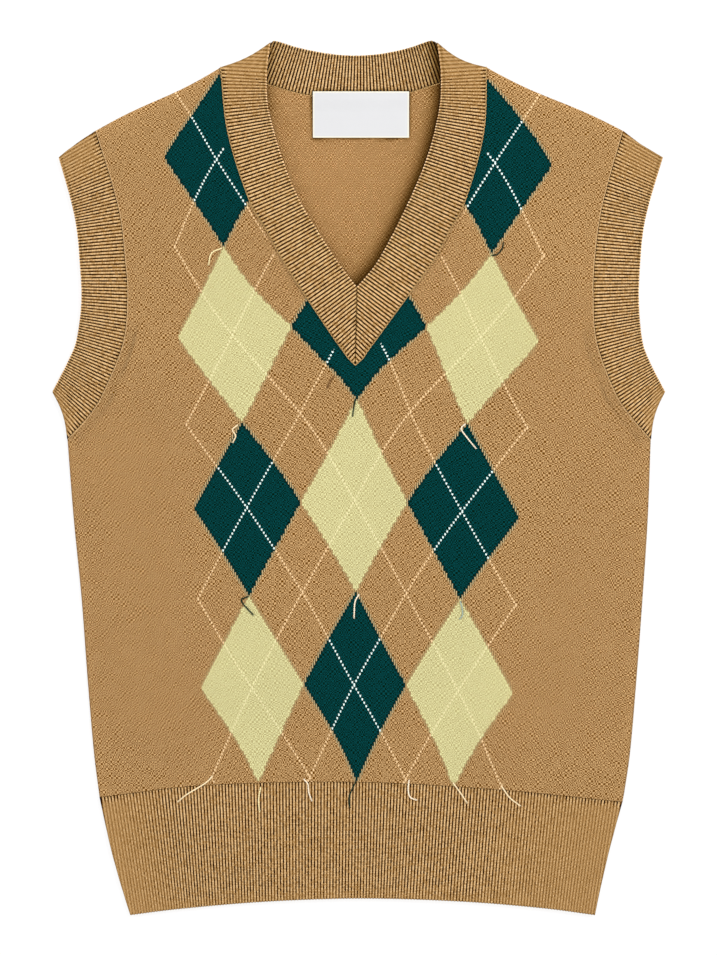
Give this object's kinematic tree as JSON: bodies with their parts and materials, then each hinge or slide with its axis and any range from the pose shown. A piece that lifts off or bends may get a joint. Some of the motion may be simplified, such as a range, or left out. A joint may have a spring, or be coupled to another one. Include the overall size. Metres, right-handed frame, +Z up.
{
  "type": "knitted sweater vest",
  "caption": "Sleeveless V-neck sweater vest laid flat, plain knit with an argyle front, ribbed neck, armholes and hem, and loose intarsia yarn ends.",
  "frame": {"origin": "centre of the vest's outline, on the surface that it lies on", "axes": "+X to the viewer's right, +Y from the hem to the neck, +Z up out of the front of the vest"},
  "size_m": [0.4586, 0.6546, 0.0069],
  "materials": {
    "camel_plain_knit": "matte camel plain knit; the front has an intarsia argyle in bottle green and pale yellow",
    "camel_rib_knit": "matte camel 1x1 rib",
    "white_woven_label": "smooth white woven tape",
    "yellow_yarn": "matte yarn",
    "green_yarn": "matte yarn",
    "camel_yarn": "matte yarn",
    "cream_yarn": "matte yarn",
    "white_yarn": "matte yarn",
    "grey_yarn": "matte yarn"
  },
  "bodies": {
    "root": {"back_panel": "camel_plain_knit", "back_hem_rib": "camel_rib_knit", "back_neck_rib": "camel_rib_knit", "back_armhole_rib_left": "camel_rib_knit", "back_armhole_rib_right": "camel_rib_knit", "front_panel": "camel_plain_knit", "front_hem_rib": "camel_rib_knit", "front_neck_rib_left": "camel_rib_knit", "front_neck_rib_right": "camel_rib_knit", "front_armhole_rib_left": "camel_rib_knit", "front_armhole_rib_right": "camel_rib_knit", "neck_label": "white_woven_label", "yarn_end_01": "yellow_yarn", "yarn_end_02": "green_yarn", "yarn_end_03": "camel_yarn", "yarn_end_04": "green_yarn", "yarn_end_05": "cream_yarn", "yarn_end_06": "white_yarn", "yarn_end_07": "green_yarn", "yarn_end_08": "white_yarn", "yarn_end_09": "grey_yarn", "yarn_end_10": "cream_yarn", "yarn_end_11": "yellow_yarn", "yarn_end_12": "white_yarn", "yarn_end_13": "green_yarn", "yarn_end_14": "white_yarn", "yarn_end_15": "cream_yarn", "yarn_end_16": "cream_yarn"}
  },
  "joints": []
}
